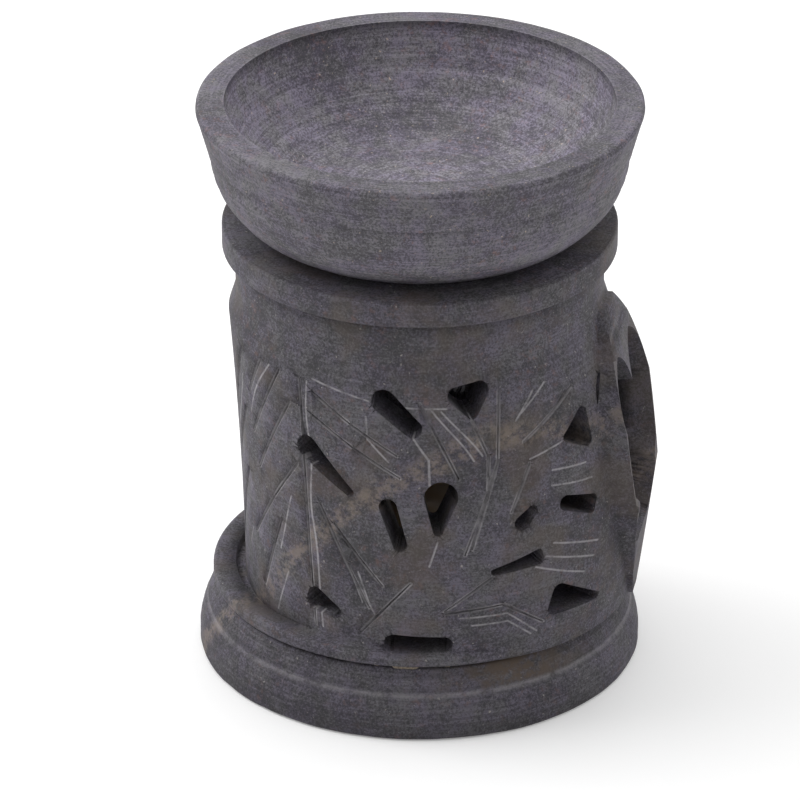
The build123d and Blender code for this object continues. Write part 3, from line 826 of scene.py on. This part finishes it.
cement_low, cement_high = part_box("joint_cement")
CEMENT_WIDTH = 6.0
CRUMB_REACH = 0.75
cement_radius = cement_high.x / MM
low, high = cement_low.z / MM, cement_high.z / MM
middle = (low + high) / 2
section = straight((cement_radius - CEMENT_WIDTH, high), (cement_radius - 0.2, high), 2.0)
section += arc((cement_radius - 0.2, high), (cement_radius, middle), (cement_radius - 0.2, low), 0.06)
section += straight((cement_radius - 0.2, low), (cement_radius - CEMENT_WIDTH, low), 2.0)
section += straight((cement_radius - CEMENT_WIDTH, low), (cement_radius - CEMENT_WIDTH, high), 0.3)
section += [(cement_radius - CEMENT_WIDTH, high)]
joint = turn_on_lathe("cement_ring", section, 720)
places = read_points(joint)
turn = np.arctan2(places[:, 1], places[:, 0])
rng = random.Random(3)
lumps = sum(np.cos(turn * k + rng.uniform(0, math.tau)) for k in (5, 11, 23, 37, 53, 71))
at_front = np.clip(1.4 - np.abs(np.degrees(turn) + 79) / 16, 0.1, 1)
lumps = np.clip((lumps - 0.2) / 2.2, 0, 1) * at_front
outward = np.hypot(places[:, 0], places[:, 1])
at_mouth = np.clip((outward - cement_radius + 0.35) / 0.3, 0, 1)
places[:, :2] *= (1 + CRUMB_REACH * lumps * at_mouth / outward)[:, None]
places[:, 2] = middle + (places[:, 2] - middle) * (1 + 2.2 * lumps * at_mouth)
write_points(joint, places)
choose(joint)
bpy.ops.object.shade_smooth_by_angle(angle=math.radians(60))
dress(joint, "burner", "cement", cement, "joint_cement")

# %% [markdown]
# ## Tea light
# The burner needs a tea light, and a dim glimpse of it shows through the holes; its wax is coloured a dark brown
# as painted shade, to keep that glimpse dim. Its cup is pressed from thin aluminium with a fluted side and a rolled
# lip, the wax sinks a little between its wall and its wick, and the wick is three twisted strands.

# %% Metal, wax and cotton
aluminium, tree, shader, place = start_material("pressed_aluminium")
streaks = add_node(tree, "ShaderNodeGroup", {"Place": place, "Spacing": 0.5}, node_tree=lines_group).outputs
smudge = cloud(tree, place, 4, 4, 0.6)
tree.links.new(blend_colours(tree, smudge, (0.70, 0.70, 0.71, 1), (0.84, 0.84, 0.85, 1)), shader.inputs["Base Color"])
tree.links.new(fade(tree, smudge, 0.3, 0.7, 0.22, 0.42), shader.inputs["Roughness"])
shader.inputs["Metallic"].default_value = 1.0
bump = add_node(tree, "ShaderNodeBump", {"Strength": 0.15, "Distance": 0.05 * MM, "Height": streaks["Height"]})
tree.links.new(bump.outputs[0], shader.inputs["Normal"])

tab_steel, tree, shader, place = start_material("stamped_steel")
smudge = cloud(tree, place, 1.5, 4, 0.6)
tree.links.new(blend_colours(tree, smudge, (0.50, 0.50, 0.51, 1), (0.66, 0.66, 0.67, 1)), shader.inputs["Base Color"])
tree.links.new(fade(tree, smudge, 0.3, 0.7, 0.28, 0.5), shader.inputs["Roughness"])
shader.inputs["Metallic"].default_value = 1.0

wax, tree, shader, place = start_material("wax_painted_dark_as_shade")
milk = cloud(tree, place, 5, 3, 0.5)
# Painted shade: the wax is coloured a dark brown, much darker than its own colour, so that it looks dim inside the
# chamber.
tree.links.new(blend_colours(tree, milk, (0.17, 0.11, 0.06, 1), (0.24, 0.16, 0.09, 1)), shader.inputs["Base Color"])
tree.links.new(fade(tree, milk, 0.3, 0.7, 0.35, 0.5), shader.inputs["Roughness"])
shader.inputs["Subsurface Weight"].default_value = 0.3
shader.inputs["Subsurface Radius"].default_value = (2 * MM, 1.2 * MM, 0.6 * MM)
bump = add_node(tree, "ShaderNodeBump", {"Strength": 0.2, "Distance": 0.2 * MM, "Height": milk})
tree.links.new(bump.outputs[0], shader.inputs["Normal"])

cotton, tree, shader, place = start_material("wick_cotton")
fibres = cloud(tree, place, 0.25, 3, 0.7)
tree.links.new(blend_colours(tree, fibres, (0.42, 0.37, 0.29, 1), (0.74, 0.69, 0.58, 1)), shader.inputs["Base Color"])
tree.links.new(fade(tree, fibres, 0.3, 0.7, 0.75, 0.95), shader.inputs["Roughness"])
bump = add_node(tree, "ShaderNodeBump", {"Strength": 0.6, "Distance": 0.08 * MM, "Height": fibres})
tree.links.new(bump.outputs[0], shader.inputs["Normal"])
print("tea light materials", aluminium.name, tab_steel.name, wax.name, cotton.name)

# %% Fluted cup with a rolled lip
cup_low, cup_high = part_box("tealight_cup")
CUP_WALL = 0.4
CUP_LIP = 0.5
FLUTES = 48
FLUTE_DEPTH = 0.3
cup_bottom, cup_top = cup_low.z / MM, cup_high.z / MM
cup_radius = cup_high.x / MM - CUP_LIP
inner_radius = cup_radius - CUP_WALL
section = straight((0, cup_bottom + CUP_WALL), (inner_radius - 0.6, cup_bottom + CUP_WALL), 2.0)
section += arc((inner_radius - 0.6, cup_bottom + CUP_WALL), (inner_radius - 0.18, cup_bottom + CUP_WALL + 0.18),
               (inner_radius, cup_bottom + CUP_WALL + 0.6), 0.25)
section += straight((inner_radius, cup_bottom + CUP_WALL + 0.6), (inner_radius, cup_top - 0.4), 0.8)
section += arc((inner_radius, cup_top - 0.4), (inner_radius + 0.45, cup_top), (cup_radius + CUP_LIP, cup_top - 0.4), 0.15)
section += arc((cup_radius + CUP_LIP, cup_top - 0.4), (cup_radius + 0.3, cup_top - 0.7), (cup_radius, cup_top - 0.6), 0.15)
section += straight((cup_radius, cup_top - 0.6), (cup_radius, cup_bottom + 0.8), 0.8)
section += arc((cup_radius, cup_bottom + 0.8), (cup_radius - 0.25, cup_bottom + 0.25), (cup_radius - 0.8, cup_bottom), 0.25)
section += straight((cup_radius - 0.8, cup_bottom), (0, cup_bottom), 2.0) + [(0, cup_bottom)]
cup = turn_on_lathe("fluted_cup", section, FLUTES * 6)
places = read_points(cup)
outward = np.hypot(places[:, 0], places[:, 1])
turn = np.arctan2(places[:, 1], places[:, 0])
fluted = np.clip((places[:, 2] - cup_bottom - 1.2) / 1.0, 0, 1) * np.clip((cup_top - 1.4 - places[:, 2]) / 1.0, 0, 1)
fluted *= outward > inner_radius - 0.05
places[:, :2] *= (1 - FLUTE_DEPTH * fluted * (0.5 + 0.5 * np.cos(FLUTES * turn)) / np.maximum(outward, 1))[:, None]
write_points(cup, places)
choose(cup)
bpy.ops.object.shade_smooth_by_angle(angle=math.radians(40))
dress(cup, "tealight", "cup_metal", aluminium, "tealight_cup")

# %% Wax that has sunk between wall and wick
wax_low, wax_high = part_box("tealight_wax")
tab_low, tab_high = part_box("wick_tab")
wick_low, wick_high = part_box("tealight_wick")
CLEARANCE = 0.05
TUBE_RADIUS = 1.5
wax_bottom, wax_top = wax_low.z / MM, wax_high.z / MM
wax_radius = wax_high.x / MM - FLUTE_DEPTH
bore = wick_high.x / MM + CLEARANCE
tab_top = wick_low.z / MM
tube_top = tab_high.z / MM
section = arc((bore, wax_top), (2.2, wax_top - 0.32), (5.0, wax_top - 0.4), 0.3)
section += straight((5.0, wax_top - 0.4), (wax_radius - 3, wax_top - 0.4), 1.0)
section += arc((wax_radius - 3, wax_top - 0.4), (wax_radius - 0.9, wax_top - 0.28), (wax_radius, wax_top), 0.3)
for here, there in zip(
    [(wax_radius, wax_top), (wax_radius, wax_bottom), (tab_high.x / MM + CLEARANCE, wax_bottom),
     (tab_high.x / MM + CLEARANCE, tab_top), (TUBE_RADIUS + CLEARANCE, tab_top), (TUBE_RADIUS + CLEARANCE, tube_top),
     (bore, tube_top)],
    [(wax_radius, wax_bottom), (tab_high.x / MM + CLEARANCE, wax_bottom), (tab_high.x / MM + CLEARANCE, tab_top),
     (TUBE_RADIUS + CLEARANCE, tab_top), (TUBE_RADIUS + CLEARANCE, tube_top), (bore, tube_top), (bore, wax_top)],
):
    section += straight(here, there, 1.5)
section += [(bore, wax_top)]
wax_piece = turn_on_lathe("sunken_wax", section, 96)
choose(wax_piece)
bpy.ops.object.shade_smooth_by_angle(angle=math.radians(40))
dress(wax_piece, "tealight", "wax", wax, "tealight_wax")

# %% Wick of three twisted strands
STRANDS = 3
STRAND_RADIUS = 0.36
TWIST_TURNS = 3.5
wick_bottom, wick_top = wick_low.z, wick_high.z
strand_offset = wick_high.x - STRAND_RADIUS * MM - 0.02 * MM
bpy.ops.object.select_all(action="DESELECT")
bpy.ops.mesh.primitive_circle_add(vertices=10, radius=STRAND_RADIUS * MM, location=(0, 0, 0))
wick = bpy.context.object
wick.name = "twisted_wick"
bpy.ops.object.mode_set(mode="EDIT")
bpy.ops.transform.translate(value=(strand_offset, 0, wick_bottom))
bpy.ops.mesh.spin(steps=STRANDS, dupli=True, angle=math.tau, center=(0, 0, 0), axis=(0, 0, 1))
bpy.ops.mesh.select_all(action="SELECT")
bpy.ops.mesh.remove_doubles(threshold=0.002 * MM)
bpy.ops.object.mode_set(mode="OBJECT")
twist = wick.modifiers.new("twist", "SCREW")
twist.angle = TWIST_TURNS * math.tau
twist.screw_offset = wick_top - wick_bottom
twist.steps = twist.render_steps = 90
twist.use_merge_vertices = False
apply_modifiers(wick)
bpy.ops.object.mode_set(mode="EDIT")
bpy.ops.mesh.select_all(action="SELECT")
bpy.ops.mesh.fill_holes(sides=0)
bpy.ops.mesh.select_all(action="SELECT")
bpy.ops.mesh.normals_make_consistent(inside=False)
bpy.ops.object.mode_set(mode="OBJECT")
bpy.ops.object.shade_smooth_by_angle(angle=math.radians(50))
dress(wick, "tealight", "wick_cotton", cotton, "tealight_wick")

# %% [markdown]
# The wick's tab is sunk in the wax and has the right shape already, so the CAD node stays and only gets a
# better metal.

# %% Wick tab
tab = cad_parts["wick_tab"]
tab.data.materials.clear()
tab.data.materials.append(tab_steel)
print("tab keeps its CAD shape")

# %% [markdown]
# ## Floor and light
# The photograph was taken in a white tent that is bright behind the burner and dimmer on the camera's side, so
# the burner's sides are lighter than its front. The world is therefore a soft fade from front to back,
# with one lamp from the upper left. The floor is a plain pale sheet. What the camera sees of the world is white,
# and the floor gets a little lift for the camera only, so that it goes white and still takes the shadow.

# %% Floor
FLOOR_SIZE = 6


def seen_directly(tree):
    """1 for what the camera sees, straight or in a reflection, and 0 for light on the way to a surface."""
    rays = add_node(tree, "ShaderNodeLightPath").outputs
    return reckon(tree, "MAXIMUM", rays["Is Camera Ray"],
                  reckon(tree, "MAXIMUM", rays["Is Glossy Ray"], rays["Is Transmission Ray"]))


bpy.ops.object.select_all(action="DESELECT")
bpy.ops.mesh.primitive_plane_add(size=FLOOR_SIZE)
floor = bpy.context.object
floor.name = "floor"
paper = bpy.data.materials.new("floor_paper")
paper.use_nodes = True
tree = paper.node_tree
tree.nodes.clear()
matt = add_node(tree, "ShaderNodeBsdfDiffuse", {"Color": (0.86, 0.86, 0.86, 1)}).outputs[0]
lift = add_node(tree, "ShaderNodeEmission", {"Strength": reckon(tree, "MULTIPLY", seen_directly(tree), 0.2)}).outputs[0]
both = add_node(tree, "ShaderNodeAddShader", {0: matt, 1: lift}).outputs[0]
add_node(tree, "ShaderNodeOutputMaterial", {"Surface": both})
floor.data.materials.append(paper)
print("floor", FLOOR_SIZE, "m")

# %% World and lamp
TENT_FRONT, TENT_BACK = 0.28, 1.45
TENT_DIRECTION = (-0.17, 0.95, 0.25)
world = bpy.data.worlds.new("white_tent")
bpy.context.scene.world = world
world.use_nodes = True
tree = world.node_tree
direction = add_node(tree, "ShaderNodeTexCoord").outputs["Generated"]
towards_back = add_node(tree, "ShaderNodeVectorMath", {0: direction, 1: TENT_DIRECTION}, operation="DOT_PRODUCT")
tent = fade(tree, towards_back.outputs["Value"], -0.8, 0.8, TENT_FRONT, TENT_BACK)
white = reckon(tree, "SUBTRACT", 1.0, tent)
strength = reckon(tree, "ADD", tent, reckon(tree, "MULTIPLY", white, seen_directly(tree)))
background = tree.nodes["Background"]
background.inputs["Color"].default_value = (1, 1, 1, 1)
tree.links.new(strength, background.inputs["Strength"])

LAMP_PLACE = (-0.62, 0.0, 0.72)
LAMP_SIZE = 0.6
LAMP_POWER = 3.4
bpy.ops.object.light_add(type="AREA", location=LAMP_PLACE)
lamp = bpy.context.object
lamp.name = "upper_left_box"
lamp.data.shape = "SQUARE"
lamp.data.size = LAMP_SIZE
lamp.data.energy = LAMP_POWER
aim = -lamp.location
aim.z += AIM_HEIGHT
lamp.rotation_euler = aim.to_track_quat("-Z", "Y").to_euler()
bpy.context.scene.view_settings.view_transform = "Standard"
print("tent", TENT_FRONT, "to", TENT_BACK, "and a lamp of", LAMP_POWER, "W")
